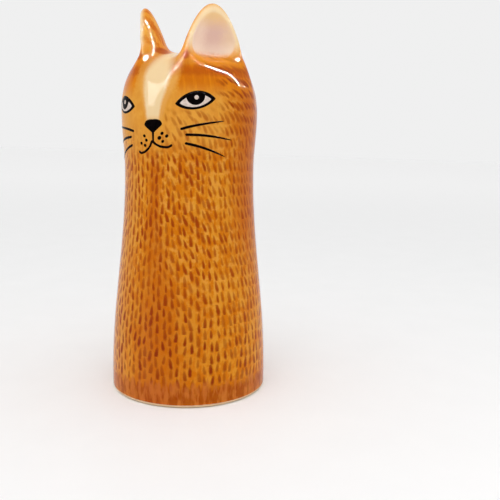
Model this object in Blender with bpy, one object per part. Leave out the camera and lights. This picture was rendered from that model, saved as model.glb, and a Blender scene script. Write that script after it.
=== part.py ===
"""A ceramic cat figurine: a hollow waisted column with a domed head, a base disc with a vent hole, two
luted ears with concave faces, and a face in raised black and white enamel.

Metres, +Z up. The cat looks along -Y, its left side is +X, and it stands on z = 0.
Angles on the body are measured from the front, positive toward the cat's left.
"""

import math

import bmesh
import bpy
from mathutils import Vector

# Body
CROWN_Z = 0.1425
CHEEK_Z = 0.117
NECK_Z = 0.095
FOOT_Z = 0.005
CHEEK_R = 0.0285
NECK_R = 0.0274
FOOT_R = 0.0336
DOME_POWER = 2.4
FOOT_ROUND = 0.001
WALL = 0.004
SEGMENTS = 56
COLUMN_RINGS = 11
DOME_RINGS = 9
GAP = 0.0003  # between pieces that touch

# Base plate
PLATE_LIFT = 0.001
PLATE_THICK = 0.004
PLATE_EDGE = 0.0015  # how far the plate's seat is cut into the wall
VENT_R = 0.006

# Ears: each widens downward from its tip like a paraboloid, and has a cup in its outer face
EAR_TIP_Z = 0.160
EAR_AZIMUTH = math.radians(60)
EAR_TIP_OUT = 0.0183
EAR_LEAN = 0.17  # how far an ear's middle moves inward for each unit of depth below the tip
EAR_DEPTH = 0.026
EAR_HALF_WIDTH = 0.0135  # at EAR_REFERENCE below the tip
EAR_HALF_THICK = 0.0069
EAR_REFERENCE = 0.018
EAR_CURL = 16.0  # per metre: how an ear's edges turn outward
EAR_RINGS = 10
EAR_SIDES = 28
CUP_DROP = 0.0022
CUP_SHIFT = 0.0043
CUP_DEPTH = 0.0190
CUP_FULLNESS = 4
CUP_WIDTH_SHARE = 0.96
CUP_THICK_SHARE = 0.88

# Face: places along the surface are an arc length from the front line and a height
FACE_R = 0.028
FACE_TILT = 0.05
ENAMEL = 0.0004
EYE_ARC = 0.0170
EYE_Z = 0.1211
EYE_HALF_WIDTH = 0.0073
EYE_RISE = 0.0034
EYE_FALL = 0.0026
EYE_BOW = 0.8
EYE_SLANT = 0.10
EYE_CORNER = 2.0  # how much more the opening draws in at its corners than at its lids
EYE_STROKE = 0.0011
EYE_COLUMNS = 24
EYE_WHITE_SHARE = 0.93
IRIS_R = 0.0034
IRIS_Z = 0.1231
GLINT_Z = 0.1223
GLINT_R = 0.0009
NOSE_Z = 0.1148
NOSE_HALF_WIDTH = 0.0038
NOSE_HEIGHT = 0.0052
MOUTH_Z = 0.1064
MOUTH_HALF_WIDTH = 0.0080
LINE_WIDTH = 0.0008
DOT_R = 0.0006
LEFT_DOTS = ((0.0027, 0.1077), (0.0040, 0.1094), (0.0058, 0.1083), (0.0041, 0.1063))
RIGHT_DOTS = ((0.0034, 0.1070), (0.0043, 0.1088), (0.0061, 0.1060), (0.0042, 0.1051))
WHISKERS = (
    ((0.0113, 0.1109), (0.0280, 0.1134)),
    ((0.0130, 0.1086), (0.0315, 0.1060)),
    ((0.0128, 0.1054), (0.0290, 0.0998)),
)
WHISKER_WIDTH = 0.0009
WHISKER_END_WIDTH = 0.0003

# Material: colour, roughness, metallic
AMBER_GLAZE = ("amber_glaze", (0.72, 0.26, 0.035), 0.12, 0.0)
BARE_CLAY = ("bare_clay", (0.72, 0.60, 0.45), 0.80, 0.0)
BLACK_ENAMEL = ("black_enamel", (0.010, 0.006, 0.008), 0.15, 0.0)
WHITE_ENAMEL = ("white_enamel", (0.80, 0.72, 0.70), 0.15, 0.0)


def clear_scene():
    for obj in list(bpy.data.objects):
        bpy.data.objects.remove(obj)


def material(kind):
    name, colour, roughness, metallic = kind
    found = bpy.data.materials.get(name)
    if found:
        return found
    made = bpy.data.materials.new(name)
    made.use_nodes = True
    shader = made.node_tree.nodes["Principled BSDF"]
    shader.inputs["Base Color"].default_value = (*colour, 1)
    shader.inputs["Roughness"].default_value = roughness
    shader.inputs["Metallic"].default_value = metallic
    return made


def add_object(name, mesh_maker, kind):
    """A named object from a bmesh, with its faces turned outward."""
    bmesh.ops.recalc_face_normals(mesh_maker, faces=mesh_maker.faces)
    mesh = bpy.data.meshes.new(name)
    mesh_maker.to_mesh(mesh)
    mesh_maker.free()
    mesh.shade_smooth()
    mesh.set_sharp_from_angle(angle=math.radians(40))
    mesh.materials.append(material(kind))
    obj = bpy.data.objects.new(name, mesh)
    bpy.context.scene.collection.objects.link(obj)
    return obj


def ease(share):
    """From 0 to 1 with level ends."""
    return 0.5 - 0.5 * math.cos(math.pi * min(max(share, 0.0), 1.0))


def body_radius(z):
    """The body's outer radius at height z."""
    if z >= CHEEK_Z:
        share = min((z - CHEEK_Z) / (CROWN_Z - CHEEK_Z), 1.0)
        return CHEEK_R * (1 - share**DOME_POWER) ** (1 / DOME_POWER)
    if z >= NECK_Z:
        return NECK_R + (CHEEK_R - NECK_R) * ease((z - NECK_Z) / (CHEEK_Z - NECK_Z))
    return FOOT_R + (NECK_R - FOOT_R) * ease((z - FOOT_Z) / (NECK_Z - FOOT_Z))


def dome_point(share, offset):
    """(radius, height) on the dome moved out by offset: share 0 is the cheek, 1 is the crown."""
    turn = share * math.pi / 2
    radius = (CHEEK_R + offset) * math.cos(turn) ** (2 / DOME_POWER)
    return radius, CHEEK_Z + (CROWN_Z - CHEEK_Z + offset) * math.sin(turn) ** (2 / DOME_POWER)


def dome_outline(offset):
    """The dome from the cheek up to the crown, ending on the axis."""
    points = [dome_point(i / DOME_RINGS, offset) for i in range(DOME_RINGS)]
    return points + [(0.0, CROWN_Z + offset)]


def turned(outline, segments=SEGMENTS):
    """A bmesh turned from a closed outline of (radius, height) points."""
    made = bmesh.new()
    rings = []
    for radius, z in outline:
        if radius < 1e-7:
            rings.append([made.verts.new((0, 0, z))])
            continue
        angles = [2 * math.pi * i / segments for i in range(segments)]
        rings.append([made.verts.new((radius * math.sin(a), -radius * math.cos(a), z)) for a in angles])
    for lower, upper in zip(rings, rings[1:] + rings[:1]):
        join_rings(made, lower, upper)
    return made


def join_rings(made, lower, upper):
    count = max(len(lower), len(upper))
    if count == 1:
        return
    for i in range(count):
        corners = [lower[i % len(lower)], lower[(i + 1) % len(lower)]]
        corners += [upper[(i + 1) % len(upper)], upper[i % len(upper)]]
        made.faces.new(list(dict.fromkeys(corners)))


def body_shell():
    foot_inner = body_radius(FOOT_Z) - WALL
    seat_z = PLATE_LIFT + PLATE_THICK + GAP
    heights = [FOOT_Z + (CHEEK_Z - FOOT_Z) * i / COLUMN_RINGS for i in range(COLUMN_RINGS)]
    outside = [(FOOT_R - FOOT_ROUND, 0.0)]
    outside += [(FOOT_R - 0.3 * FOOT_ROUND, 0.3 * FOOT_ROUND), (FOOT_R, FOOT_ROUND)]
    outside += [(body_radius(z), z) for z in heights]
    outside += dome_outline(0.0)
    inside = dome_outline(-WALL)[::-1]
    inside += [(body_radius(z) - WALL, z) for z in heights[:0:-1]]
    inside += [(foot_inner - PLATE_EDGE, seat_z + PLATE_EDGE), (foot_inner - PLATE_EDGE, seat_z)]
    inside += [(foot_inner, seat_z), (foot_inner, 0.0)]
    return add_object("body_shell", turned(outside + inside), AMBER_GLAZE)


def base_plate():
    outer = body_radius(FOOT_Z) - WALL - GAP
    bottom, top, edge = PLATE_LIFT, PLATE_LIFT + PLATE_THICK, 0.0005
    outline = [(VENT_R, bottom + edge), (VENT_R + edge, bottom)]
    outline += [(outer - edge, bottom), (outer, bottom + edge), (outer, top), (VENT_R, top)]
    return add_object("base_plate", turned(outline), BARE_CLAY)


def ear_axes(side):
    """(outward, along) level directions of an ear."""
    sine, cosine = math.sin(EAR_AZIMUTH), math.cos(EAR_AZIMUTH)
    return Vector((side * sine, -cosine, 0)), Vector((side * cosine, sine, 0))


def ear_form(side, depth, drop=0.0, shift=0.0, width_share=1.0, thick_share=1.0, rounded=False):
    """A closed bmesh of an ear's paraboloid form, from its tip to a flat or rounded end at depth."""
    made = bmesh.new()
    outward, along = ear_axes(side)
    tip = outward * (EAR_TIP_OUT + shift) + Vector((0, 0, EAR_TIP_Z - drop))
    rings = [[made.verts.new(tip)]]
    angles = [2 * math.pi * i / EAR_SIDES for i in range(EAR_SIDES)]
    for i in range(1, EAR_RINGS + (0 if rounded else 1)):
        share = ease(i / EAR_RINGS) if rounded else (i / EAR_RINGS) ** 2
        level = depth * share
        spread = math.sqrt(level / EAR_REFERENCE * (1 - share**CUP_FULLNESS if rounded else 1))
        half_width = EAR_HALF_WIDTH * width_share * spread
        half_thick = EAR_HALF_THICK * thick_share * spread
        middle = tip - outward * (EAR_LEAN * level) - Vector((0, 0, level))
        ring = []
        for a in angles:
            across = half_width * math.cos(a)
            off = half_thick * math.sin(a) + EAR_CURL * across**2
            ring.append(made.verts.new(middle + along * across + outward * off))
        rings.append(ring)
    if rounded:
        rings.append([made.verts.new(tip - outward * (EAR_LEAN * depth) - Vector((0, 0, depth)))])
    for upper, lower in zip(rings, rings[1:]):
        join_rings(made, upper, lower)
    if not rounded:
        made.faces.new(rings[-1])
    return made


def cutter(name, made):
    obj = add_object(name, made, BARE_CLAY)
    obj.hide_render = True
    obj.display_type = "WIRE"
    return obj


def cut(obj, tool):
    change = obj.modifiers.new(tool.name, "BOOLEAN")
    change.operation = "DIFFERENCE"
    change.solver = "EXACT"
    change.object = tool


def ear(name, side, head):
    obj = add_object(name, ear_form(side, EAR_DEPTH), AMBER_GLAZE)
    cup = ear_form(side, CUP_DEPTH, CUP_DROP, CUP_SHIFT, CUP_WIDTH_SHARE, CUP_THICK_SHARE, rounded=True)
    cut(obj, head)
    cut(obj, cutter(name + "_cup_tool", cup))
    return obj


def head_tool():
    """The head's outer surface moved out by the gap, as a cutter for the ears."""
    outline = [(0.0, NECK_Z), (NECK_R + GAP, NECK_Z)] + dome_outline(GAP)
    return cutter("head_tool", turned(outline))


def on_face(arc, z, lift):
    """The point at that place on the face, lift above the surface. The whole face is a little tilted."""
    angle = arc / FACE_R
    z += FACE_TILT * arc
    radius = body_radius(z) + lift
    return Vector((radius * math.sin(angle), -radius * math.cos(angle), z))


def enamel(name, columns, kind, closed=False, layer=0):
    """A thin layer over columns of (arc, z) places on the face. closed joins the last to the first."""
    made = bmesh.new()
    lift = GAP + layer * (ENAMEL + GAP)
    low = [[made.verts.new(on_face(*place, lift)) for place in column] for column in columns]
    high = [[made.verts.new(on_face(*place, lift + ENAMEL)) for place in column] for column in columns]
    count = len(columns)
    rows = len(columns[0])
    for i in range(count if closed else count - 1):
        j = (i + 1) % count
        for k in range(rows - 1):
            made.faces.new((low[i][k], low[j][k], low[j][k + 1], low[i][k + 1]))
            made.faces.new((high[i][k], high[j][k], high[j][k + 1], high[i][k + 1]))
        for k in (0, rows - 1):
            made.faces.new((low[i][k], low[j][k], high[j][k], high[i][k]))
    if not closed:
        for i in (0, count - 1):
            for k in range(rows - 1):
                made.faces.new((low[i][k], low[i][k + 1], high[i][k + 1], high[i][k]))
    return add_object(name, made, kind)


def between(first, second, rows):
    """rows places from one (arc, z) place to another."""
    shares = [k / (rows - 1) for k in range(rows)]
    return [(first[0] + (second[0] - first[0]) * t, first[1] + (second[1] - first[1]) * t) for t in shares]


def disc_columns(arc, z, radius, count=9, rows=3):
    """Columns across a round spot."""
    columns = []
    for i in range(count):
        turn = math.pi * (0.08 + 0.84 * i / (count - 1))
        half = radius * math.sin(turn)
        across = arc - radius * math.cos(turn)
        columns.append(between((across, z - half), (across, z + half), rows))
    return columns


def stroke_columns(points, width_from, width_to):
    """Columns across a brush stroke that follows the points."""
    columns = []
    for i, (arc, z) in enumerate(points):
        before, after = points[max(i - 1, 0)], points[min(i + 1, len(points) - 1)]
        along = Vector((after[0] - before[0], after[1] - before[1])).normalized()
        half = (width_from + (width_to - width_from) * i / (len(points) - 1)) / 2
        side = along.y * half, along.x * half
        columns.append([(arc + side[0], z - side[1]), (arc - side[0], z + side[1])])
    return columns


def eye_place(side, share, upper, inset):
    """A place on the eye's almond. share is -1 at the nose to 1; inset is inward from the line's middle."""
    bow = max(1 - share * share, 0.0) ** EYE_BOW
    across = (EYE_HALF_WIDTH - EYE_CORNER * inset) * share
    height = (EYE_RISE - inset) * bow if upper else (inset - EYE_FALL) * bow
    return side * (EYE_ARC + across), EYE_Z + EYE_SLANT * across + height


def eye_line(side, name):
    """The black almond line round the eye."""
    edges = []
    for inset in (EYE_STROKE / 2, -EYE_STROKE / 2):
        turns = [2 * math.pi * i / EYE_COLUMNS for i in range(EYE_COLUMNS)]
        edges.append([eye_place(side, math.cos(t), math.sin(t) > 0, inset) for t in turns])
    return enamel(name, [between(a, b, 2) for a, b in zip(*edges)], BLACK_ENAMEL, closed=True)


def iris_edge(across, upper, radius):
    return IRIS_Z + math.sqrt(max(radius**2 - across**2, 0.0)) * (1 if upper else -1)


def iris(side, name):
    """A disc whose top is cut off by the upper lid."""
    columns = []
    for i in range(EYE_COLUMNS // 2):
        across = -IRIS_R * math.cos(math.pi * (0.06 + 0.88 * i / (EYE_COLUMNS // 2 - 1)))
        lid_z = eye_place(side, across / EYE_HALF_WIDTH, True, EYE_STROKE / 2 + GAP)[1]
        low, high = iris_edge(across, False, IRIS_R), min(iris_edge(across, True, IRIS_R), lid_z)
        columns.append(between((side * (EYE_ARC + across), low), (side * (EYE_ARC + across), high), 3))
    return enamel(name, columns, BLACK_ENAMEL)


def eye_white(side, name):
    """The white inside the line, which passes under the iris."""
    columns = []
    hole = IRIS_R + GAP
    inset = EYE_STROKE / 2 + GAP
    for i in range(EYE_COLUMNS - 1):
        share = EYE_WHITE_SHARE * (-1 + 2 * i / (EYE_COLUMNS - 2))
        arc, low = eye_place(side, share, False, inset)
        high = eye_place(side, share, True, inset)[1]
        across = side * arc - EYE_ARC
        if abs(across) < hole:
            high = min(high, iris_edge(across, False, hole))
        columns.append(between((arc, low), (arc, high), 3))
    return enamel(name, columns, WHITE_ENAMEL)


def glint(side, name):
    """A dab of white on the iris."""
    return enamel(name, disc_columns(side * EYE_ARC, GLINT_Z, GLINT_R, 7, 2), WHITE_ENAMEL, layer=1)


def eye(side, word):
    eye_line(side, word + "_eye_line")
    eye_white(side, word + "_eye_white")
    iris(side, word + "_iris")
    glint(side, word + "_glint")


def nose():
    """A rounded triangle, point down."""
    columns, count = [], 9
    for i in range(count):
        share = -0.96 + 1.92 * i / (count - 1)
        top = NOSE_Z + 0.0006 * abs(share) - 0.0012 * share**4
        drop = NOSE_HEIGHT * (1 - abs(share)) ** 0.9 + 0.0004
        columns.append(between((NOSE_HALF_WIDTH * share, top - drop), (NOSE_HALF_WIDTH * share, top), 3))
    return enamel("nose", columns, BLACK_ENAMEL)


def mouth():
    """The short upright line under the nose, and the two curves that run from it to the cheeks."""
    nose_tip = NOSE_Z - NOSE_HEIGHT - 0.0004
    stem = [(0.0, nose_tip - GAP), (0.0, MOUTH_Z + LINE_WIDTH / 2 + GAP)]
    enamel("philtrum_line", stroke_columns(stem, LINE_WIDTH, LINE_WIDTH), BLACK_ENAMEL)
    curve, count = [], 25
    for i in range(count):
        share = -1 + 2 * i / (count - 1)
        sag = 0.0030 * math.sin(math.pi * abs(share) ** 0.8) ** 0.9
        curve.append((MOUTH_HALF_WIDTH * share, MOUTH_Z - sag - 0.0008 * abs(share)))
    enamel("mouth_line", stroke_columns(curve, LINE_WIDTH, LINE_WIDTH), BLACK_ENAMEL)


def whiskers(side, word):
    for number, (start, end) in enumerate(WHISKERS, 1):
        points = [(side * a, z) for a, z in between(start, end, 9)]
        stroke = stroke_columns(points, WHISKER_WIDTH, WHISKER_END_WIDTH)
        enamel(f"{word}_whisker_{number}", stroke, BLACK_ENAMEL)


def whisker_dots(side, word):
    for number, (arc, z) in enumerate(LEFT_DOTS if side > 0 else RIGHT_DOTS, 1):
        enamel(f"{word}_whisker_dot_{number}", disc_columns(side * arc, z, DOT_R, 6, 2), BLACK_ENAMEL)


def main():
    clear_scene()
    body_shell()
    base_plate()
    tool = head_tool()
    nose()
    mouth()
    for side, word in ((1, "left"), (-1, "right")):
        ear(word + "_ear", side, tool)
        eye(side, word)
        whiskers(side, word)
        whisker_dots(side, word)


main()
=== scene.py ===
"""The looks of the ceramic cat figurine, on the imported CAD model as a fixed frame.

The clay body and its two ears become one glazed skin, grown from a field of smoothly joined forms. The face
is laid on it as thin enamel marks. Metres, +Z up; the cat looks along -Y, its left side is +X.
"""

import math

import bmesh
import bpy
import numpy as np
from mathutils import Matrix, Vector

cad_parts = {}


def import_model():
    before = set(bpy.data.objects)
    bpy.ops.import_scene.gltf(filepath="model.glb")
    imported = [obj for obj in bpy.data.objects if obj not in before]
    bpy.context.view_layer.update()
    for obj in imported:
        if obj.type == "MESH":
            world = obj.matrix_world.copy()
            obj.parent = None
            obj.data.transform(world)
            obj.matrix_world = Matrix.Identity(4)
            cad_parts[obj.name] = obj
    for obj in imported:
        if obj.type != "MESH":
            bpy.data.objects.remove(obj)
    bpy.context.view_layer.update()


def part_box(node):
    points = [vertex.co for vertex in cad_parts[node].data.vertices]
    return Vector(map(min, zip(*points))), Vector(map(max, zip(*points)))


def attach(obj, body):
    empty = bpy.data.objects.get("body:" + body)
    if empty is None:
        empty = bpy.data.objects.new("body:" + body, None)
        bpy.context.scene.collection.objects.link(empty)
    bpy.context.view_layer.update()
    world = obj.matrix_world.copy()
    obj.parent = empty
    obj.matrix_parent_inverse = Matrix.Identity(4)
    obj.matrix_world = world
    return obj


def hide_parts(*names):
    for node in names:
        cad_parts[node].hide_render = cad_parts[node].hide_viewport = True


# Body form. The foot radius, the crown, the ear tips and the base plate's radius come from the frame.
CHEEK_Z = 0.117
NECK_Z = 0.095
FOOT_Z = 0.005
CHEEK_R = 0.0285
NECK_R = 0.0274
DOME_POWER = 2.4
WALL = 0.004
FOOT_BLEND = 0.0017
RECESS_TOP_Z = 0.02  # the foot is open below this, as wide as the base plate

# Ear form
EAR_AZIMUTH = math.radians(60)
EAR_TIP_OUT = 0.0183
EAR_LEAN = 0.17
EAR_HALF_WIDTH = 0.0135
EAR_HALF_THICK = 0.0069
EAR_REFERENCE = 0.018
EAR_CURL = 16.0  # per metre: how an ear's edges turn outward
EAR_ROOT_DEPTH = 0.040
EAR_ROOT_FULLNESS = 4
EAR_BLEND_INNER = 0.0045
EAR_BLEND_OUTER = 0.0090
EAR_BLEND_FROM = 0.010  # how far out the blend starts to widen, and over what length
EAR_BLEND_OVER = 0.012
LEAST_SLOPE = 20.0  # keeps a form's distance within bounds where its field is flat
CUP_DROP = 0.0022
CUP_SHIFT = 0.0043
CUP_FORWARD = 0.0008
CUP_DEPTH = 0.0190
CUP_HALF_WIDTH = 0.0134
CUP_HALF_THICK = 0.0061
CUP_FULLNESS = 4
CUP_BLEND_TOP = 0.0016
CUP_BLEND_BOTTOM = 0.0060
CUP_BLEND_FROM = 0.013  # how far below the tip the blend starts to widen, and over what length
CUP_BLEND_OVER = 0.007

# Skin grid
GRID_ACROSS = 0.0007
GRID_UP_COLUMN = 0.0020
GRID_UP_HEAD = 0.0006
GRID_UP_FOOT = 0.0004
HEAD_FROM_Z = 0.124
FOOT_TO_Z = 0.003
SURFACE_STEPS = 5  # moves of each point onto the surface

# Face: places along the surface are an arc length from the front line and a height
FACE_R = 0.028
FACE_TILT = 0.05
MARK_LIFT = 0.00006
MARK_STEP = 0.00003
MARK_SINK = 0.00025
FACE_STEPS = 6  # moves of each place on the face onto the surface
EDGE_PROFILE = ((0.12, 1.0), (0.35, 1.0), (0.6, 1.0), (0.8, 1.0), (0.93, 0.97), (0.985, 0.7), (1.0, 0.0))
STROKE_ACROSS = 8

EYE_ARC = 0.0170
EYE_Z = 0.1211
EYE_HALF_WIDTH = 0.0078
EYE_RISE = 0.0039
EYE_FALL = 0.0031
EYE_BOW = 0.85
EYE_SLANT = 0.10
EYE_POINTS = 40
LID_UPPER = 0.0014
LID_LOWER = 0.0009
LID_CORNER = 0.0018
IRIS_R = 0.0037
IRIS_Z = 0.1233
IRIS_POINTS = 64
IRIS_UNDER_LID = 0.3  # how much of the upper lid's line the iris leaves free
GLINT_R = 0.00085
GLINT_Z = 0.1225
GLINT_SHIFT = 0.0003

NOSE_TOP_Z = 0.1150
NOSE_MIDDLE_Z = 0.1128
NOSE_TIP_Z = 0.1094
NOSE_HALF_WIDTH = 0.0040
NOSE_POINTS = 72
PHILTRUM = ((0, 0.1103), (-0.0001, 0.1078), (-0.0001, 0.1059))
PHILTRUM_WIDTHS = (0.0011, 0.0009, 0.0009)
MOUTH = (
    (-0.0078, 0.1029),
    (-0.0066, 0.1021),
    (-0.0046, 0.1025),
    (-0.0028, 0.1036),
    (-0.0016, 0.1048),
    (-0.0006, 0.1064),
    (0.0009, 0.1054),
    (0.0027, 0.1045),
    (0.0046, 0.1041),
    (0.0064, 0.1041),
    (0.0080, 0.1049),
)
MOUTH_WIDTHS = (0.0010, 0.0009, 0.0010, 0.0009, 0.0011, 0.0009, 0.0010, 0.0009, 0.0010)
MOUTH_POINTS = 90

WHISKERS = (
    ((0.0111, 0.1107), (0.0155, 0.1117), (0.0215, 0.1126), (0.0285, 0.1133)),
    ((0.0130, 0.1086), (0.0190, 0.1082), (0.0250, 0.1073), (0.0322, 0.1058)),
    ((0.0128, 0.1054), (0.0180, 0.1040), (0.0235, 0.1020), (0.0295, 0.0994)),
)
WHISKER_WIDTHS = (0.0010, 0.00105, 0.0010, 0.0009, 0.0007, 0.0003)
RIGHT_WHISKER_SHIFT = -0.0009

# Dots beside the nose: arc, height, radius
LEFT_DOTS = (
    (0.0027, 0.1077, 0.00086),
    (0.0039, 0.1094, 0.00072),
    (0.0058, 0.1083, 0.00074),
    (0.0041, 0.1063, 0.00068),
)
RIGHT_DOTS = (
    (0.0034, 0.1070, 0.00070),
    (0.0043, 0.1087, 0.00070),
    (0.0061, 0.1059, 0.00068),
    (0.0042, 0.1050, 0.00072),
)
DOT_FLATNESS = 0.85
DOT_LEAN = 0.5

# Paint: sizes in millimetres
PAINT_R = 28.0
PAINT_TIP_Z = 160.0  # the ear tips
DAB_PAINT_R = 29.5
DAB_ROWS = 4.75  # from one row to the next
DAB_COLUMNS_ROUND = 74
DAB_HALF_WIDTH = 0.75
DAB_HALF_LENGTH = 2.50

# Camera
CAMERA_AZIMUTH = math.radians(30.3)
CAMERA_DISTANCE = 0.2963
CAMERA_HEIGHT = 0.1102
CAMERA_PITCH = math.radians(9.68)
CAMERA_YAW = math.radians(5.13)
CAMERA_ROLL = math.radians(1.04)
CAMERA_LENS = 49.25

# Lights and floor
FLOOR_HALF_SIZE = 3.0
LIGHTS_TARGET = (0, 0, 0.08)
KEY_PLACE = (0.15, -0.35, 0.95)
KEY_SIZE = (0.6, 0.6)
KEY_POWER = 2.2
LAMP_Z = 0.393
LAMP_CORNERS = ((-0.154, -0.548), (-0.178, -0.235), (0.548, 0.328), (0.547, 0.514))
LAMP_BAR = 0.008
LAMP_GLOW = 900.0  # watts per square metre and steradian
WINDOW_AZIMUTH = math.radians(-36)
WINDOW_DISTANCE = 0.9
WINDOW_Z = 0.50
WINDOW_SIZE = (0.24, 0.55)
WINDOW_GLOW = 26.0
WORLD_GREY = 0.87


def radius_at(z, foot_r, crown_z):
    """The body's outer radius at each height, up to the crown."""

    def ease(share):
        return 0.5 - 0.5 * np.cos(np.pi * np.clip(share, 0, 1))

    radius = foot_r + (NECK_R - foot_r) * ease((z - FOOT_Z) / (NECK_Z - FOOT_Z))
    upper = NECK_R + (CHEEK_R - NECK_R) * ease((z - NECK_Z) / (CHEEK_Z - NECK_Z))
    radius = np.where(z > NECK_Z, upper, radius)
    share = np.clip((z - CHEEK_Z) / (crown_z - CHEEK_Z), 0, 1)
    dome = CHEEK_R * (1 - share**DOME_POWER) ** (1 / DOME_POWER)
    return np.where(z > CHEEK_Z, dome, radius)


def smooth_least(a, b, blend):
    share = np.clip(0.5 + 0.5 * (b - a) / blend, 0, 1)
    return b + (a - b) * share - blend * share * (1 - share)


def smooth_most(a, b, blend):
    return -smooth_least(-a, -b, blend)


class Form:
    """The figurine as fields over points, about the distance outside each surface."""

    def __init__(self):
        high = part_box("body_shell")[1]
        self.foot_r = high[0]
        self.crown_z = high[2]
        self.tip_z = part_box("left_ear")[1][2]
        self.plate_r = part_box("base_plate")[1][0]

    def body(self, p):
        x, y, z = p
        rho = np.hypot(x, y)
        column = rho - radius_at(z, self.foot_r, self.crown_z)
        u = rho / CHEEK_R
        v = np.maximum(z - CHEEK_Z, 0) / (self.crown_z - CHEEK_Z)
        whole = np.maximum((u**DOME_POWER + v**DOME_POWER) ** (1 / DOME_POWER), 1e-3)
        slope_u = (u / whole) ** (DOME_POWER - 1) / CHEEK_R
        slope_v = (v / whole) ** (DOME_POWER - 1) / (self.crown_z - CHEEK_Z)
        dome = (whole - 1) / np.maximum(np.hypot(slope_u, slope_v), 1e-6)
        return np.where(z > CHEEK_Z, dome, column)

    def ear_place(self, p, side):
        """(outward, along, below the tip) of each point in an ear's own level directions."""
        x, y, z = p
        sine, cosine = math.sin(EAR_AZIMUTH), math.cos(EAR_AZIMUTH)
        return side * sine * x - cosine * y, side * cosine * x + sine * y, self.tip_z - z

    def paraboloid(self, off, along, depth, half_thick, half_width, closes_at, fullness):
        """A form that widens downward from its tip, leans inward, and closes at that depth."""
        share = np.maximum(depth, 0) / closes_at
        spread = depth / EAR_REFERENCE * (1 - share**fullness)
        spread_slope = (1 - (fullness + 1) * share**fullness) / EAR_REFERENCE
        off = off + EAR_LEAN * depth - EAR_CURL * along**2
        value = (along / half_width) ** 2 + (off / half_thick) ** 2 - spread
        slope_off = 2 * off / half_thick**2
        slope_along = 2 * along / half_width**2 - 2 * EAR_CURL * along * slope_off
        slope_up = spread_slope - slope_off * EAR_LEAN
        slope = np.sqrt(slope_along**2 + slope_off**2 + slope_up**2)
        return value / np.maximum(slope, LEAST_SLOPE)

    def ear(self, p, side):
        out, along, depth = self.ear_place(p, side)
        sizes = (EAR_HALF_THICK, EAR_HALF_WIDTH, EAR_ROOT_DEPTH, EAR_ROOT_FULLNESS)
        return self.paraboloid(out - EAR_TIP_OUT, along, depth, *sizes)

    def cup(self, p):
        """The hollow in the outer face of the nearer ear."""
        cups = []
        for side in (1, -1):
            out, along, depth = self.ear_place(p, side)
            sizes = (CUP_HALF_THICK, CUP_HALF_WIDTH, CUP_DEPTH, CUP_FULLNESS)
            off = out - EAR_TIP_OUT - CUP_SHIFT
            cups.append(self.paraboloid(off, along + CUP_FORWARD, depth - CUP_DROP, *sizes))
        return np.minimum(*cups)

    def outside(self, p):
        head = self.body(p)
        for side in (1, -1):
            share = np.clip((self.ear_place(p, side)[0] - EAR_BLEND_FROM) / EAR_BLEND_OVER, 0, 1)
            blend = EAR_BLEND_INNER + (EAR_BLEND_OUTER - EAR_BLEND_INNER) * share
            head = smooth_least(head, self.ear(p, side), blend)
        share = np.clip((self.tip_z - p[2] - CUP_BLEND_FROM) / CUP_BLEND_OVER, 0, 1)
        blend = CUP_BLEND_TOP + (CUP_BLEND_BOTTOM - CUP_BLEND_TOP) * share
        return smooth_most(head, -self.cup(p), blend)

    def skin(self, p):
        """The whole glazed body: hollow, flat at the foot, and open below round the base plate."""
        hollow = self.body(p) + WALL
        recess = np.maximum(np.hypot(p[0], p[1]) - self.plate_r, p[2] - RECESS_TOP_Z)
        whole = smooth_most(self.outside(p), -p[2], FOOT_BLEND)
        return np.maximum(whole, -np.minimum(hollow, recess))


def slope_of(field, p, step=2e-5):
    parts = []
    for axis in range(3):
        move = np.zeros((3, 1))
        move[axis] = step
        parts.append((field(p + move) - field(p - move)) / (2 * step))
    return np.array(parts)


def grid_steps(start, end, step):
    return np.linspace(start, end, max(int(round((end - start) / step)), 1) + 1)


def cell_crossings(grid, value):
    """For each axis, the other two axes, the grid edges that cross the surface, which of them start inside
    it, and where they cross it."""
    inside = value < 0
    crossings = []
    for axis in range(3):
        low = [slice(None)] * 3
        high = [slice(None)] * 3
        low[axis], high[axis] = slice(None, -1), slice(1, None)
        low, high = tuple(low), tuple(high)
        crossed = inside[low] != inside[high]
        share = np.where(crossed, value[low] / np.where(crossed, value[low] - value[high], 1), 0)
        places = grid[(slice(None),) + low] * (1 - share) + grid[(slice(None),) + high] * share
        others = [a for a in range(3) if a != axis]
        crossings.append((others, crossed, inside[low], places))
    return crossings


def cell_points(crossings, cells):
    """(points, index): the middle of each cell's crossings, and each cell's point number, or -1."""
    total = np.zeros((3,) + cells)
    count = np.zeros(cells)
    for others, crossed, _, places in crossings:
        for shift_a in (0, 1):
            for shift_b in (0, 1):
                part = [slice(None)] * 3
                part[others[0]] = slice(shift_a, shift_a + cells[others[0]])
                part[others[1]] = slice(shift_b, shift_b + cells[others[1]])
                part = tuple(part)
                total += np.where(crossed[part], places[(slice(None),) + part], 0)
                count += crossed[part]
    active = count > 0
    index = np.full(cells, -1)
    index[active] = np.arange(active.sum())
    return total[:, active] / count[active], index


def cell_faces(crossings, cells, index):
    """A quad through the four cells round each crossing edge, facing outward."""
    faces = []
    for axis, (others, crossed, starts_inside, _) in enumerate(crossings):
        where = np.array(np.nonzero(crossed))
        keep = (where[others[0]] > 0) & (where[others[1]] > 0)
        keep &= (where[others[0]] < cells[others[0]]) & (where[others[1]] < cells[others[1]])
        where = where[:, keep]
        forward = starts_inside[tuple(where)]
        if axis == 1:
            forward = ~forward
        ring = []
        for shift_a, shift_b in ((-1, -1), (0, -1), (0, 0), (-1, 0)):
            cell = where.copy()
            cell[others[0]] += shift_a
            cell[others[1]] += shift_b
            ring.append(index[tuple(cell)])
        ring = np.array(ring)
        faces.append(np.where(forward, ring, ring[::-1]).T)
    return np.concatenate(faces)


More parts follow.
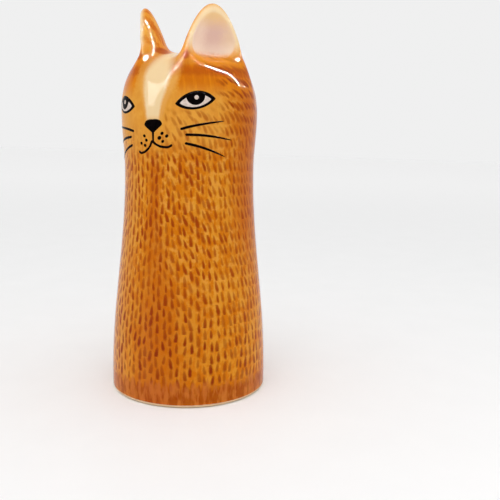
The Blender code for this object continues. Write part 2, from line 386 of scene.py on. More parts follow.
def onto_surface(field, points):
    for _ in range(SURFACE_STEPS):
        slope = slope_of(field, points)
        length = np.maximum((slope**2).sum(axis=0), 0.05)
        move = -field(points) * slope / length
        points = points + np.clip(move, -GRID_UP_HEAD, GRID_UP_HEAD)
    return points


def skin_mesh(form):
    """(points, faces) of the form's surface: one point in each grid cell that it crosses, moved onto it."""
    reach = form.foot_r + 2 * GRID_ACROSS
    across = grid_steps(-reach, reach, GRID_ACROSS)
    up = np.concatenate([
        grid_steps(-3 * GRID_UP_FOOT, FOOT_TO_Z, GRID_UP_FOOT)[:-1],
        grid_steps(FOOT_TO_Z, HEAD_FROM_Z, GRID_UP_COLUMN)[:-1],
        grid_steps(HEAD_FROM_Z, form.tip_z + 3 * GRID_UP_HEAD, GRID_UP_HEAD),
    ])
    grid = np.stack(np.meshgrid(across, across, up, indexing="ij"))
    value = form.skin(grid.reshape(3, -1)).reshape(grid.shape[1:])
    cells = tuple(n - 1 for n in value.shape)
    crossings = cell_crossings(grid, value)
    points, index = cell_points(crossings, cells)
    return onto_surface(form.skin, points), cell_faces(crossings, cells, index)


def mesh_object(name, points, faces, material, smooth=True):
    mesh = bpy.data.meshes.new(name)
    mesh.from_pydata([tuple(p) for p in points], [], [tuple(f) for f in faces])
    mesh.update()
    mesh.polygons.foreach_set("use_smooth", [smooth] * len(mesh.polygons))
    mesh.materials.append(material)
    obj = bpy.data.objects.new(name, mesh)
    bpy.context.scene.collection.objects.link(obj)
    return obj


def add_attribute(obj, name, values):
    layer = obj.data.attributes.new(name, "FLOAT", "POINT")
    layer.data.foreach_set("value", np.asarray(values, np.float32))


def glazed_body(form, material):
    points, faces = skin_mesh(form)
    obj = mesh_object("glazed_body", points.T, faces.tolist(), material)
    normals = slope_of(form.skin, points)
    normals = normals / np.maximum(np.linalg.norm(normals, axis=0), 1e-9)
    obj.data.normals_split_custom_set_from_vertices(normals.T.tolist())
    add_attribute(obj, "cup", 1000 * form.cup(points))
    ears = np.minimum(form.ear(points, 1), form.ear(points, -1))
    add_attribute(obj, "ear", 1000 * ears)
    add_attribute(obj, "head", 1000 * form.body(points))
    return obj


# ---- marks on the face ----

class Face:
    """Places on the face: an arc length from the front line and a height, lifted off the skin."""

    def __init__(self, form):
        self.form = form

    def points(self, places, lifts):
        places = np.asarray(places, float)
        angle = places[:, 0] / FACE_R
        z = places[:, 1] + FACE_TILT * places[:, 0]
        sine, cosine = np.sin(angle), np.cos(angle)
        rho = radius_at(z, self.form.foot_r, self.form.crown_z)
        for _ in range(FACE_STEPS):
            rho = rho - self.form.outside(np.array([rho * sine, -rho * cosine, z]))
        surface = np.array([rho * sine, -rho * cosine, z])
        slope = slope_of(self.form.outside, surface)
        slope = slope / np.linalg.norm(slope, axis=0)
        return (surface + slope * lifts).T


def ring_faces(rings, count):
    """Quads between rings of count points each."""
    faces = []
    for i in range(rings - 1):
        for j in range(count):
            k = (j + 1) % count
            faces.append((i * count + j, i * count + k, (i + 1) * count + k, (i + 1) * count + j))
    return faces


def outward(obj):
    """The object with its faces turned outward."""
    made = bmesh.new()
    made.from_mesh(obj.data)
    bmesh.ops.recalc_face_normals(made, faces=made.faces)
    made.to_mesh(obj.data)
    made.free()
    return obj


def fill(name, face, outline, centre, material, layer=0):
    """A flat enamel spot inside a star-shaped outline of (arc, z) places, with a softly rounded edge."""
    outline = np.asarray(outline, float)
    centre = np.asarray(centre, float)
    top = MARK_LIFT + layer * MARK_STEP
    places, lifts = [], []
    for share, height in EDGE_PROFILE:
        places.append(centre + (outline - centre) * share)
        lifts.append(np.full(len(outline), top * height))
    places.append(outline)
    lifts.append(np.full(len(outline), -MARK_SINK))
    points = face.points(np.concatenate(places), np.concatenate(lifts))
    count = len(outline)
    faces = ring_faces(len(places), count)
    faces.append(tuple(range(count))[::-1])
    faces.append(tuple(range((len(places) - 1) * count, len(places) * count)))
    return outward(mesh_object(name, points, faces, material))


def smooth_path(points, count):
    """count places on a Catmull-Rom curve through the points."""
    points = np.asarray(points, float)
    padded = np.concatenate([[2 * points[0] - points[1]], points, [2 * points[-1] - points[-2]]])
    places = []
    for t in np.linspace(0, len(points) - 1 - 1e-9, count):
        i = int(t)
        u = t - i
        a, b, c, d = padded[i : i + 4]
        curve = 2 * b + (c - a) * u + (2 * a - 5 * b + 4 * c - d) * u**2 + (3 * b - a - 3 * c + d) * u**3
        places.append(curve / 2)
    return np.array(places)


def stroke(name, face, points, widths, material, layer=0, count=48):
    """A brush stroke along the points. widths are at even steps along it, and its ends are rounded."""
    path = smooth_path(points, count)
    along = np.gradient(path, axis=0)
    along = along / np.linalg.norm(along, axis=1)[:, None]
    side = np.stack([along[:, 1], -along[:, 0]], axis=1)
    travelled = np.concatenate([[0], np.cumsum(np.linalg.norm(np.diff(path, axis=0), axis=1))])
    half = np.interp(np.linspace(0, 1, count), np.linspace(0, 1, len(widths)), widths) / 2
    for distance, cap in ((travelled, half[0]), (travelled[-1] - travelled, half[-1])):
        half = half * np.sqrt(np.clip(1 - (1 - np.minimum(distance / cap, 1)) ** 2, 0.002, 1))
    top = MARK_LIFT + layer * MARK_STEP
    places, lifts = [], []
    for share in np.linspace(-1, 1, STROKE_ACROSS + 1):
        places.append(path + side * (half * share)[:, None])
        lifts.append(np.full(count, top * (1 - abs(share) ** 6)))
    for share in (1, -1):
        places.append(path + side * (half * share)[:, None])
        lifts.append(np.full(count, -MARK_SINK))
    rows = len(places)
    points = face.points(np.concatenate(places), np.concatenate(lifts))
    faces = []
    for i in range(rows):
        for j in range(count - 1):
            k = (i + 1) % rows
            faces.append((i * count + j, i * count + j + 1, k * count + j + 1, k * count + j))
    faces.append(tuple(i * count for i in range(rows)))
    faces.append(tuple(i * count + count - 1 for i in reversed(range(rows))))
    return outward(mesh_object(name, points, faces, material))


def round_outline(arc, z, radius_arc, radius_z=None, lean=0.0, count=40):
    radius_z = radius_z or radius_arc
    turns = np.linspace(0, 2 * math.pi, count, endpoint=False)
    across, up = radius_arc * np.cos(turns), radius_z * np.sin(turns)
    sine, cosine = math.sin(lean), math.cos(lean)
    return np.stack([arc + across * cosine - up * sine, z + across * sine + up * cosine], axis=1)


def almond(side, inset_upper=0.0, inset_lower=0.0, inset_corner=0.0):
    """The eye's outline, drawn in from the black line's outer edge by the insets."""
    shares = np.cos(np.linspace(0, math.pi, EYE_POINTS))
    bow = (1 - shares**2) ** EYE_BOW
    across = (EYE_HALF_WIDTH - inset_corner) * shares
    arcs = side * (EYE_ARC + across)
    middle = EYE_Z + EYE_SLANT * across
    upper = np.stack([arcs, middle + (EYE_RISE - inset_upper) * bow], axis=1)
    lower = np.stack([arcs, middle - (EYE_FALL - inset_lower) * bow], axis=1)
    return np.concatenate([upper, lower[-2:0:-1]])


def inside_almond(side, places, inset):
    """The places, kept below the eye's upper lid."""
    across = side * places[:, 0] - EYE_ARC
    bow = np.maximum(1 - (across / (EYE_HALF_WIDTH - LID_CORNER)) ** 2, 0) ** EYE_BOW
    top = EYE_Z + EYE_SLANT * across + (EYE_RISE - inset) * bow
    return np.stack([places[:, 0], np.minimum(places[:, 1], top)], axis=1)


def eye(face, side, word, black, white):
    arc = side * EYE_ARC
    centre = (arc, EYE_Z)
    line = fill(word + "_lid_line", face, almond(side), centre, black)
    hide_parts(word + "_eye_line")
    inner = almond(side, LID_UPPER, LID_LOWER, LID_CORNER)
    ball = fill(word + "_eye", face, inner, centre, white, 1)
    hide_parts(word + "_eye_white")
    disc = round_outline(arc, IRIS_Z, IRIS_R, count=IRIS_POINTS)
    disc = inside_almond(side, disc, IRIS_UNDER_LID * LID_UPPER)
    pupil = fill(word + "_pupil", face, disc, centre, black, 2)
    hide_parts(word + "_iris")
    bright = round_outline(arc + GLINT_SHIFT, GLINT_Z, GLINT_R)
    glint = fill(word + "_eye_glint", face, bright, (arc, GLINT_Z), white, 3)
    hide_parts(word + "_glint")
    return [(line, "black_enamel"), (ball, "white_enamel"), (pupil, "black_enamel"), (glint, "white_enamel")]


def nose_place(turn):
    """A place on the nose's outline: a soft bar above its middle, a rounded point below."""
    c, s = math.cos(turn), math.sin(turn)
    if s > 0:
        rise = (NOSE_TOP_Z - NOSE_MIDDLE_Z) * (0.95 + 0.25 * abs(c))
        return NOSE_HALF_WIDTH * c, NOSE_MIDDLE_Z + s * rise
    width = NOSE_HALF_WIDTH * ((1 + s) ** 0.85 * 0.92 + 0.08)
    return width * c, NOSE_MIDDLE_Z + s * (NOSE_MIDDLE_Z - NOSE_TIP_Z)


def nose(face, black):
    turns = np.linspace(0, 2 * math.pi, NOSE_POINTS, endpoint=False)
    places = [nose_place(turn) for turn in turns]
    tip = fill("nose_tip", face, places, (0, NOSE_MIDDLE_Z), black, 1)
    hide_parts("nose")
    return [(tip, "black_enamel")]


def mouth(face, black):
    line = stroke("philtrum", face, PHILTRUM, PHILTRUM_WIDTHS, black)
    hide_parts("philtrum_line")
    arms = stroke("mouth", face, MOUTH, MOUTH_WIDTHS, black, 1, count=MOUTH_POINTS)
    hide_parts("mouth_line")
    return [(line, "black_enamel"), (arms, "black_enamel")]


def whiskers(face, side, word, black):
    made = []
    shift = 0.0 if side > 0 else RIGHT_WHISKER_SHIFT
    for number, points in enumerate(WHISKERS, 1):
        path = [(side * (arc + shift), z) for arc, z in points]
        hair = stroke(f"{word}_whisker_{number}_line", face, path, WHISKER_WIDTHS, black)
        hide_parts(f"{word}_whisker_{number}")
        made.append((hair, "black_enamel"))
    for number, (arc, z, size) in enumerate(LEFT_DOTS if side > 0 else RIGHT_DOTS, 1):
        outline = round_outline(side * arc, z, size, DOT_FLATNESS * size, lean=side * DOT_LEAN)
        dot = fill(f"{word}_whisker_spot_{number}", face, outline, (side * arc, z), black)
        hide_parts(f"{word}_whisker_dot_{number}")
        made.append((dot, "black_enamel"))
    return made


# ---- materials ----

def tone(red, green, blue):
    """A linear colour from 0-255 screen values."""
    linear = []
    for value in (red / 255, green / 255, blue / 255):
        linear.append(value / 12.92 if value <= 0.04045 else ((value + 0.055) / 1.055) ** 2.4)
    return (*linear, 1.0)


class Nodes:
    """A material's node tree with short calls for its usual nodes. A value may be a number or a socket."""

    def __init__(self, name):
        self.material = bpy.data.materials.new(name)
        self.material.use_nodes = True
        self.tree = self.material.node_tree
        self.shader = self.tree.nodes["Principled BSDF"]

    def node(self, kind, **settings):
        made = self.tree.nodes.new(kind)
        for key, value in settings.items():
            setattr(made, key, value)
        return made

    def put(self, socket, value):
        if isinstance(value, bpy.types.NodeSocket):
            self.tree.links.new(value, socket)
        else:
            socket.default_value = value

    def math(self, operation, *values):
        made = self.node("ShaderNodeMath", operation=operation)
        for socket, value in zip(made.inputs, values):
            self.put(socket, value)
        return made.outputs[0]

    def add(self, *values):
        total = values[0]
        for value in values[1:]:
            total = self.math("ADD", total, value)
        return total

    def times(self, *values):
        total = values[0]
        for value in values[1:]:
            total = self.math("MULTIPLY", total, value)
        return total

    def less(self, value, other):
        return self.math("SUBTRACT", value, other)

    def ramp(self, value, low, high):
        """0 at low, 1 at high, smooth between. low may be above high."""
        made = self.node("ShaderNodeMapRange", interpolation_type="SMOOTHSTEP")
        flip = low > high
        self.put(made.inputs["Value"], value)
        made.inputs["From Min"].default_value = high if flip else low
        made.inputs["From Max"].default_value = low if flip else high
        made.inputs["To Min"].default_value = 1 if flip else 0
        made.inputs["To Max"].default_value = 0 if flip else 1
        return made.outputs["Result"]

    def join(self, x, y, z):
        made = self.node("ShaderNodeCombineXYZ")
        for socket, value in zip(made.inputs, (x, y, z)):
            self.put(socket, value)
        return made.outputs[0]

    def noise(self, vector, scale=1.0, detail=2.0, roughness=0.5):
        made = self.node("ShaderNodeTexNoise")
        self.put(made.inputs["Vector"], vector)
        made.inputs["Scale"].default_value = scale
        made.inputs["Detail"].default_value = detail
        made.inputs["Roughness"].default_value = roughness
        return made.outputs["Fac"]

    def random(self, vector):
        """Three even random numbers for a vector of whole numbers."""
        made = self.node("ShaderNodeTexWhiteNoise", noise_dimensions="3D")
        self.put(made.inputs["Vector"], vector)
        split = self.node("ShaderNodeSeparateColor")
        self.put(split.inputs[0], made.outputs["Color"])
        return split.outputs[0], split.outputs[1], split.outputs[2]

    def mix(self, share, first, second):
        made = self.node("ShaderNodeMix", data_type="RGBA")
        self.put(made.inputs[0], share)
        self.put(made.inputs[6], first)
        self.put(made.inputs[7], second)
        return made.outputs[2]

    def attribute(self, name):
        return self.node("ShaderNodeAttribute", attribute_name=name).outputs["Fac"]

    def place(self):
        """Object coordinates in millimetres, as a vector and as x, y and z."""
        made = self.node("ShaderNodeVectorMath", operation="SCALE")
        self.put(made.inputs[0], self.node("ShaderNodeTexCoord").outputs["Object"])
        made.inputs["Scale"].default_value = 1000
        split = self.node("ShaderNodeSeparateXYZ")
        self.put(split.inputs[0], made.outputs[0])
        return made.outputs[0], split.outputs[0], split.outputs[1], split.outputs[2]

    def bump(self, height, distance, strength):
        made = self.node("ShaderNodeBump")
        made.inputs["Strength"].default_value = strength
        made.inputs["Distance"].default_value = distance
        self.put(made.inputs["Height"], height)
        return made.outputs["Normal"]


# ---- the glaze's paint: heights and arcs in millimetres, angles in radians from the front ----

def dab_columns(n, angle, layer):
    """(place across, whole cell, its number round the body, its angle) in one of the two sets of columns."""
    columns = DAB_COLUMNS_ROUND / (2 * math.pi)
    u = n.math("MULTIPLY_ADD", angle, columns / 2, 0.5 * layer + 0.25)
    cell = n.math("FLOOR", u)
    column = n.math("FLOORED_MODULO", cell, DAB_COLUMNS_ROUND / 2)
    column_angle = n.math("MULTIPLY_ADD", cell, 2 / columns, (0.25 - 0.5 * layer) * 2 / columns)
    return u, cell, column, column_angle


def dab_layer(n, angle, z, lean, wobble, layer):
    """How strongly the dabs of one set of columns cover each point.

    On the cat's left side the two sets lie in rows. Elsewhere they are staggered.
    """
    u, cell, column, column_angle = dab_columns(n, angle, layer)
    shift = n.random(n.join(column, 7.0 + layer, 3.0))[0]
    off_front = n.math("ABSOLUTE", column_angle)
    aligned = n.times(n.ramp(column_angle, 0.55, 0.95), n.ramp(off_front, 3.0, 2.4))
    stagger = n.times(n.math("MULTIPLY_ADD", aligned, -1, 1), 0.5 * layer)
    shift = n.times(shift, n.math("MULTIPLY_ADD", aligned, -0.2, 0.35))
    v = n.add(n.times(z, 1 / DAB_ROWS), shift, stagger)
    row = n.math("FLOOR", v)
    jitter_u, jitter_v, strength = n.random(n.join(column, row, 11.0 + layer))
    jitter_lean, jitter_size, _ = n.random(n.join(column, row, 23.0 + layer))

    du = n.less(n.less(u, cell), 0.5)
    du = n.times(du, 4 * math.pi * DAB_PAINT_R / DAB_COLUMNS_ROUND)
    dv = n.times(n.less(n.less(v, row), 0.5), DAB_ROWS)
    du = n.add(du, n.times(n.less(jitter_u, 0.5), 0.9), wobble)
    dv = n.add(dv, n.times(n.less(jitter_v, 0.5), 1.3))
    turn = n.add(lean, n.times(n.less(jitter_lean, 0.5), 0.35))
    sine, cosine = n.math("SINE", turn), n.math("COSINE", turn)
    across = n.add(n.times(du, cosine), n.times(dv, sine))
    length = n.less(n.times(dv, cosine), n.times(du, sine))
    size = n.math("MULTIPLY_ADD", jitter_size, 0.45, 0.75)
    length = n.math("DIVIDE", length, n.times(size, DAB_HALF_LENGTH))
    taper = n.math("MULTIPLY_ADD", length, -0.28, 0.95)
    across = n.math("DIVIDE", across, n.times(size, taper, DAB_HALF_WIDTH))
    ends = n.math("POWER", n.math("ABSOLUTE", length), 2.6)
    away = n.math("SQRT", n.add(n.times(across, across), ends))
    loaded = n.math("MULTIPLY_ADD", length, -0.20, 0.80)
    return n.times(n.ramp(away, 1.3, 0.4), loaded, n.math("MULTIPLY_ADD", strength, 0.65, 0.68))


def dabs(n, angle, z, lean, wobble):
    """How strongly a painted dab covers each point: two sets of columns, each of them every other column."""
    return n.math("MAXIMUM", *[dab_layer(n, angle, z, lean, wobble, layer) for layer in (0, 1)])


def spot(n, place, middle, radii, wobble):
    """How strongly a soft-edged spot covers each point."""
    offs = []
    for value, centre, radius in zip(place, middle, radii):
        offs.append(n.math("DIVIDE", n.less(value, centre), radius))
    away = n.math("SQRT", n.add(*[n.times(off, off) for off in offs]))
    return n.ramp(n.add(away, wobble), 1.25, 0.6)


class Places:
    """What the glaze's paints share: places in millimetres and radians, and noises."""

    def __init__(self, n):
        self.vector, self.x, self.y, self.z = n.place()
        self.angle = n.math("ARCTAN2", self.x, n.times(self.y, -1))
        self.off_middle = n.math("ABSOLUTE", self.angle)
        self.beside = n.math("ABSOLUTE", self.x)
        self.arc = n.times(self.angle, PAINT_R)
        self.face_z = n.less(self.z, n.times(self.arc, FACE_TILT))
        round_x = n.times(n.math("SINE", self.angle), PAINT_R)
        round_y = n.times(n.math("COSINE", self.angle), PAINT_R)
        self.streaks = n.noise(n.join(round_x, round_y, n.times(self.z, 0.22)), 0.55, 3.0, 0.55)
        self.clouds = n.noise(self.vector, 0.055, 2.0, 0.5)
        self.wobble = n.times(n.less(n.noise(self.vector, 0.9, 2.0), 0.5), 0.5)


def ground_paint(n, at):
    """The ground: golden, deeper in streaks, down the front line and on the cat's left side."""
    z, angle, arc = at.z, at.angle, at.arc
    mottle = n.noise(at.vector, 0.32, 3.0, 0.6)
    uneven = n.add(at.streaks, n.times(at.clouds, 0.5), mottle)
    ground = n.mix(n.ramp(uneven, 1.05, 1.45), tone(216, 142, 36), tone(202, 112, 4))
    pale_spots = n.times(n.ramp(mottle, 0.52, 0.34), n.ramp(z, 20, 60), 0.45)
    ground = n.mix(pale_spots, ground, tone(226, 158, 66))
    deeper = n.times(n.ramp(z, 75, 30), n.ramp(angle, 1.1, 0.2), n.ramp(angle, -0.6, 0.0))
    ground = n.mix(n.times(deeper, 0.45), ground, tone(190, 96, 4))
    streak_width = n.math("MULTIPLY_ADD", n.ramp(z, 95, 40), 5.0, 3.2)
    streak_off = n.less(arc, n.times(n.ramp(z, 80, 40), 3.0))
    streak_off = n.math("ABSOLUTE", n.math("DIVIDE", streak_off, streak_width))
    front = n.times(n.ramp(streak_off, 1.3, 0.2), n.ramp(z, 106, 96))
    ground = n.mix(n.times(front, 0.55), ground, tone(186, 90, 0))
    left_side = n.times(n.ramp(angle, 0.95, 1.5), n.ramp(angle, 3.0, 2.0), n.ramp(z, 40, 80))
    ground = n.mix(n.times(left_side, 0.75), ground, tone(188, 94, 6))
    right_side = n.times(n.ramp(angle, -0.15, -0.7), n.ramp(angle, -3.0, -2.0), 0.5)
    return n.mix(right_side, ground, tone(212, 144, 62))


def face_paint(n, at, under):
    """A paler face, with a deeper forehead and a dark brow on each side."""
    head = n.times(n.ramp(at.face_z, 98, 110), n.ramp(at.off_middle, 1.3, 0.8))
    ground = n.mix(n.times(head, 0.65), under, tone(224, 158, 62))
    edge = n.add(n.math("ABSOLUTE", at.arc), n.times(at.wobble, 5.0))
    patch = n.times(n.ramp(edge, 8.8, 11.0), n.ramp(at.z, 122, 130))
    amber = n.mix(n.ramp(at.streaks, 0.35, 0.65), tone(216, 124, 0), tone(202, 106, 0))
    brow_z = n.add(at.z, n.times(at.wobble, 3.0))
    brow = n.times(n.ramp(brow_z, 131.0, 133.0), n.ramp(brow_z, 136.5, 134.5))
    brow = n.times(brow, n.ramp(at.streaks, 0.3, 0.5))
    amber = n.mix(n.times(brow, 0.9), amber, tone(176, 72, 0))
    return n.mix(n.times(patch, 0.95), ground, amber)


def dabbed_area(n, at):
    """Where the dabs lie: all round below the face, on the cheeks, and behind the face on each side."""
    z, arc, face_z = at.z, at.arc, at.face_z
    below_face = n.ramp(face_z, 105, 99)
    left_cheek = n.times(n.ramp(face_z, 119.5, 116), n.ramp(arc, 2, 6), 0.6)
    right_cheek = n.times(n.ramp(face_z, 115, 108), n.ramp(arc, -1, -4), 0.3)
    behind_left = n.times(n.ramp(n.add(arc, n.times(at.wobble, 6.0)), 24, 30), n.ramp(z, 145, 140))
    behind_right = n.times(n.ramp(at.angle, -0.9, -1.2), n.ramp(z, 140, 134))
    where = below_face
    for area in (left_cheek, behind_right, right_cheek, behind_left):
        where = n.math("MAXIMUM", where, area)
    fainter_low = n.math("MULTIPLY_ADD", n.ramp(z, 6.0, 12.0), 0.55, 0.45)
    return n.times(where, fainter_low, n.ramp(z, 1.6, 3.0))


def dab_paint(n, at, under):
    """Dabs: upright down the front, leaning more and more up the sides."""
    z, angle = at.z, at.angle
    upper = n.times(n.ramp(z, 22, 62), n.ramp(at.off_middle, 2.9, 2.0))
    rising = n.math("MULTIPLY_ADD", n.ramp(z, 96, 134), 0.85, 0.26)
    lean_left = n.times(n.ramp(angle, -0.1, 0.5), rising, upper)
    lean_right = n.times(n.ramp(angle, -0.25, -0.8), -0.35, upper)
    cover = dabs(n, angle, z, n.add(lean_left, lean_right), at.wobble)
    softer = n.times(n.ramp(angle, 0.6, 1.1), n.ramp(z, 118, 108))
    cover = n.times(cover, n.math("MULTIPLY_ADD", softer, -0.18, 1))
    brown = n.mix(n.ramp(z, 55, 20), tone(154, 61, 0), tone(138, 48, 0))
    return n.mix(n.times(cover, dabbed_area(n, at)), under, brown)


def blaze_paint(n, at, under):
    """A cream blaze, with a tan strip on the cat's left of it."""
    half = n.math("MULTIPLY_ADD", n.ramp(at.face_z, 114, 136), 4.2, 2.9)
    off = n.less(at.arc, n.times(n.ramp(at.face_z, 118, 134), 0.6))
    edge = n.add(n.math("DIVIDE", n.math("ABSOLUTE", off), half), n.times(at.wobble, 0.4))
    rising = n.times(n.ramp(at.face_z, 112.5, 117.0), n.ramp(at.z, 144, 141))
    strip_edge = n.less(edge, n.times(n.ramp(at.arc, 0, 2), 0.25))
    strip = n.times(n.ramp(strip_edge, 1.5, 1.0), rising)
    tan = n.mix(n.times(strip, 0.6), under, tone(226, 166, 88))
    return n.mix(n.times(n.ramp(edge, 1.15, 0.75), rising), tan, tone(236, 206, 158))


def cup_colour(n, along, at):
    """The ears' cups: pinkish, with painted shade greyer in the middle, warmer toward the tip, and painted
    light paler low down.
    """
    # Painted shade: the middle of the cup is greyer than its edges.
    inside = n.mix(n.ramp(along, -6, 0), tone(246, 218, 198), tone(228, 192, 178))
    inside = n.mix(n.ramp(along, 2, 8), inside, tone(240, 210, 178))
    toward_tip = n.ramp(n.add(at.z, n.times(at.wobble, 4.0)), 149, 156)
    inside = n.mix(toward_tip, inside, tone(242, 202, 146))
    # Painted light: the cup is paler low down.
    painted_light_low = n.ramp(n.add(at.z, n.times(at.wobble, 3.0)), 148, 142)
    return n.mix(n.times(painted_light_low, 0.6), inside, tone(250, 228, 208))


def ear_places(n, at):
    """(along, off) of each point: along the nearer ear's width, and out from its middle face."""
    sine, cosine = math.sin(EAR_AZIMUTH), math.cos(EAR_AZIMUTH)
    along = n.add(n.times(at.beside, cosine), n.times(at.y, sine), n.times(at.wobble, 6.0))
    lean = n.times(n.less(PAINT_TIP_Z, at.z), EAR_LEAN)
    off = n.add(n.times(at.beside, sine), n.times(at.y, -cosine), lean, -1000 * EAR_TIP_OUT)
    return along, n.less(off, n.times(along, along, EAR_CURL / 1000))


def ear_paint(n, at, under):
    """Furred ears with pale rims and painted rim highlights, pink cups, and dark spots where they meet the
    head.
    """
    z = at.z
    cup = n.attribute("cup")
    ear = n.attribute("ear")
    body = n.attribute("head")
    on_ear = n.times(n.ramp(body, 0.8, 3.5), n.ramp(ear, 2.5, 0.8))
    along, off = ear_places(n, at)
    crease = n.ramp(n.math("ABSOLUTE", n.less(body, ear)), 3.2, 0.6)
    crease = n.times(crease, n.ramp(cup, 0.3, 1.5))
    colour = n.mix(n.times(crease, 0.35), under, tone(194, 100, 4))
    hairs = n.noise(n.join(n.times(along, 0.5), 0.0, n.times(z, 0.09)), 1.0, 2.0)
    fur = n.mix(n.ramp(hairs, 0.42, 0.62), tone(240, 172, 62), tone(208, 110, 8))
    colour = n.mix(n.times(on_ear, n.ramp(z, 139, 146), 0.8), colour, fur)
    below_cup = n.times(n.ramp(cup, 6.0, 1.0), n.ramp(z, 148, 143), n.ramp(z, 134, 138))
    colour = n.mix(n.times(below_cup, 0.5), colour, tone(246, 166, 44))
    front = spot(n, (at.beside, at.y, z), (10.6, -21.2, 139.6), (1.4, 1.9, 2.0), at.wobble)
    inner = spot(n, (at.x, at.y, z), (-4.6, -14.2, 142.2), (4.0, 4.0, 1.6), at.wobble)
    colour = n.mix(n.times(n.math("MAXIMUM", front, inner), 0.85), colour, tone(176, 74, 0))
    # Pale rims on the ears' outer faces round the cups: partly thinner glaze over the edges, partly a
    # painted highlight along the rims.
    pale_rim_and_highlight = n.ramp(n.add(z, n.times(at.wobble, 4.0)), 139, 146)
    pale_rim_and_highlight = n.times(on_ear, n.ramp(off, -0.8, 1.5), pale_rim_and_highlight)
    rim = n.mix(n.ramp(cup, 2.4, 0.9), tone(232, 178, 104), tone(250, 224, 180))
    colour = n.mix(n.times(pale_rim_and_highlight, n.ramp(cup, 5.0, 2.2), 0.9), colour, rim)
    above_root = n.ramp(n.add(z, n.times(at.wobble, 3.0)), 139.0, 142.5)
    in_cup = n.times(n.ramp(cup, 0.6, 0.1), above_root)
    return n.mix(in_cup, colour, cup_colour(n, along, at))


def foot_paint(n, at, under):
    """A thin pinkish wash round the foot, with a brushed upper edge."""
    top = n.add(at.z, n.times(at.wobble, 3.0), n.times(n.less(at.streaks, 0.5), 14.0))
    wash = n.mix(n.ramp(at.streaks, 0.42, 0.60), tone(186, 98, 40), tone(146, 56, 4))
    return n.mix(n.times(n.ramp(top, 11.0, 7.5), 0.7), under, wash)


def bare_area(n, at):
    """Where the clay has no glaze: the rim that it stands on, and the inside of the foot."""
    rim = n.ramp(n.add(at.z, n.times(at.wobble, 0.6)), 1.5, 1.1)
    radius = n.math("SQRT", n.add(n.times(at.x, at.x), n.times(at.y, at.y)))
    inner = n.times(n.ramp(radius, 31.2, 30.6), n.ramp(at.z, 22, 18))
    return n.math("MAXIMUM", rim, inner)


def glaze():
    n = Nodes("amber_glaze_painted")
    at = Places(n)
    colour = ground_paint(n, at)
    for paint in (face_paint, dab_paint, blaze_paint, ear_paint, foot_paint):
        colour = paint(n, at, colour)
    bare = bare_area(n, at)
    n.put(n.shader.inputs["Base Color"], n.mix(bare, colour, tone(214, 186, 150)))
    rough = n.math("MULTIPLY_ADD", at.clouds, 0.02, 0.02)
    rough = n.math("MAXIMUM", rough, n.times(bare, 0.85))
    n.put(n.shader.inputs["Roughness"], rough)
    n.shader.inputs["Specular IOR Level"].default_value = 0.07
    n.put(n.shader.inputs["Normal"], n.bump(n.noise(at.vector, 0.11, 1.5), 0.0012, 0.15))
    return n.material


def enamel(name, dark, light, roughness):
    n = Nodes(name)
    place = n.place()[0]
    cloudy = n.noise(place, 0.9, 3.0)
    n.put(n.shader.inputs["Base Color"], n.mix(n.ramp(cloudy, 0.35, 0.7), dark, light))
    n.put(n.shader.inputs["Roughness"], n.math("MULTIPLY_ADD", cloudy, 0.10, roughness))
    n.put(n.shader.inputs["Normal"], n.bump(n.noise(place, 1.6, 2.0), 0.00003, 0.5))
    n.shader.inputs["Specular IOR Level"].default_value = 0.015
    return n.material


def bisque():
    n = Nodes("bare_clay_bisque")
    place = n.place()[0]
    grains = n.noise(place, 3.0, 4.0, 0.65)
    clouds = n.noise(place, 0.12, 2.0)
    colour = n.mix(n.ramp(clouds, 0.35, 0.65), tone(206, 178, 140), tone(222, 198, 166))
    colour = n.mix(n.times(n.ramp(grains, 0.62, 0.72), 0.4), colour, tone(150, 118, 84))
    n.put(n.shader.inputs["Base Color"], colour)
    n.put(n.shader.inputs["Roughness"], n.math("MULTIPLY_ADD", grains, 0.15, 0.75))
    n.put(n.shader.inputs["Normal"], n.bump(grains, 0.0002, 0.5))
    return n.material


# ---- set ----

def camera():
    data = bpy.data.cameras.new("camera")
    data.lens = CAMERA_LENS
    data.sensor_width = 36
    data.clip_start = 0.01
    obj = bpy.data.objects.new("camera", data)
    right = Vector((math.cos(CAMERA_AZIMUTH), math.sin(CAMERA_AZIMUTH), 0))
    away = Vector((-math.sin(CAMERA_AZIMUTH), math.cos(CAMERA_AZIMUTH), 0))
    level = math.cos(CAMERA_PITCH)
    look = right * (math.sin(CAMERA_YAW) * level) + away * (math.cos(CAMERA_YAW) * level)
    look -= Vector((0, 0, math.sin(CAMERA_PITCH)))
    side = look.cross(Vector((0, 0, 1))).normalized()
    up = side.cross(look)
    cosine, sine = math.cos(CAMERA_ROLL), math.sin(CAMERA_ROLL)
    side, up = side * cosine + up * sine, up * cosine - side * sine
    place = -away * CAMERA_DISTANCE + Vector((0, 0, CAMERA_HEIGHT))
    axes = Matrix((side, up, -look)).transposed()
    obj.matrix_world = Matrix.Translation(place) @ axes.to_4x4()
    bpy.context.scene.collection.objects.link(obj)
    bpy.context.scene.camera = obj


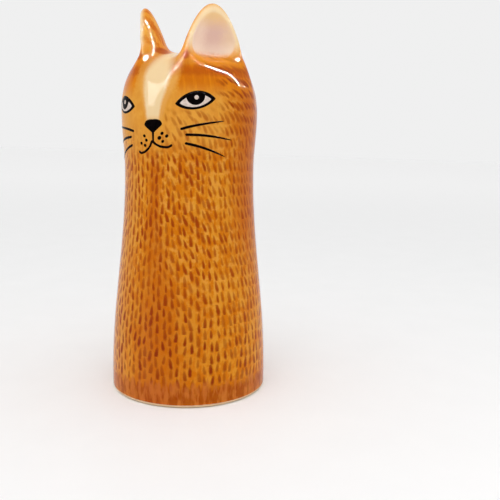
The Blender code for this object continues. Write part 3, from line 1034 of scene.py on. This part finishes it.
def floor():
    n = Nodes("floor_paper")
    place, x, y, _ = n.place()
    grain = n.noise(place, 0.04, 2.0)
    # Painted light and shade: the paper is darker near the figurine, where the key lamp lights it most, and
    # paler far off, where less light reaches it.
    near = n.mix(grain, (0.85, 0.85, 0.85, 1), (0.88, 0.88, 0.88, 1))
    away = n.math("SQRT", n.add(n.times(x, x), n.times(y, y)))
    paper_and_painted_light = n.mix(n.ramp(away, 150, 1500), near, (0.985, 0.985, 0.985, 1))
    n.put(n.shader.inputs["Base Color"], paper_and_painted_light)
    n.shader.inputs["Roughness"].default_value = 0.6
    n.shader.inputs["Specular IOR Level"].default_value = 0.2
    size = FLOOR_HALF_SIZE
    corners = [(-size, -size, 0), (size, -size, 0), (size, size, 0), (-size, size, 0)]
    obj = mesh_object("floor", corners, [(0, 1, 2, 3)], n.material, smooth=False)


def area_light(name, place, target, width, height, power):
    """A rectangular lamp that faces the target."""
    data = bpy.data.lights.new(name, "AREA")
    data.shape = "RECTANGLE"
    data.size = width
    data.size_y = height
    data.energy = power
    obj = bpy.data.objects.new(name, data)
    place = Vector(place)
    obj.location = place
    obj.rotation_euler = (Vector(target) - place).to_track_quat("-Z", "Y").to_euler()
    bpy.context.scene.collection.objects.link(obj)
    return obj


def lamp():
    """A bent strip lamp overhead, seen only in the glaze."""
    for number, (start, end) in enumerate(zip(LAMP_CORNERS, LAMP_CORNERS[1:])):
        run = Vector(end) - Vector(start)
        middle = (Vector(end) + Vector(start)) / 2
        power = math.pi * run.length * LAMP_BAR * LAMP_GLOW
        place = (middle.x, middle.y, LAMP_Z)
        below = (middle.x, middle.y, 0)
        bar = area_light(f"lamp_bar_{number}", place, below, run.length, LAMP_BAR, power)
        bar.rotation_euler = (0, 0, math.atan2(run.y, run.x))
        bar.visible_diffuse = False
        bar.visible_camera = False


def window():
    """A tall soft window, seen only in the glaze."""
    sine, cosine = math.sin(WINDOW_AZIMUTH), math.cos(WINDOW_AZIMUTH)
    place = (WINDOW_DISTANCE * sine, -WINDOW_DISTANCE * cosine, WINDOW_Z)
    power = math.pi * WINDOW_SIZE[0] * WINDOW_SIZE[1] * WINDOW_GLOW
    pane = area_light("window", place, LIGHTS_TARGET, *WINDOW_SIZE, power)
    pane.visible_diffuse = False
    pane.visible_camera = False


def lights():
    key = area_light("key", KEY_PLACE, LIGHTS_TARGET, *KEY_SIZE, KEY_POWER)
    key.visible_glossy = False
    lamp()
    window()
    world = bpy.data.worlds.new("studio")
    bpy.context.scene.world = world
    world.use_nodes = True
    background = world.node_tree.nodes["Background"]
    background.inputs["Color"].default_value = (WORLD_GREY, WORLD_GREY, WORLD_GREY, 1)
    background.inputs["Strength"].default_value = 1.0
    bpy.context.scene.view_settings.view_transform = "Standard"


def main():
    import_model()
    form = Form()
    face = Face(form)
    black_tones = (0.0008, 0.0003, 0.0004, 1), (0.003, 0.0015, 0.0018, 1)
    black = enamel("black_enamel_paint", *black_tones, 0.12)
    white = enamel("white_enamel_paint", tone(204, 186, 174), tone(224, 208, 198), 0.10)

    skin = glazed_body(form, glaze())
    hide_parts("body_shell", "left_ear", "right_ear")
    pieces = [(skin, "amber_glaze")]
    for side, word in ((1, "left"), (-1, "right")):
        pieces += eye(face, side, word, black, white)
        pieces += whiskers(face, side, word, black)
    pieces += nose(face, black)
    pieces += mouth(face, black)
    for piece, slot in pieces:
        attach(piece, "root")
    plate = bpy.data.objects["base_plate"]
    plate.data.materials.clear()
    plate.data.materials.append(bisque())

    floor()
    camera()
    lights()


main()
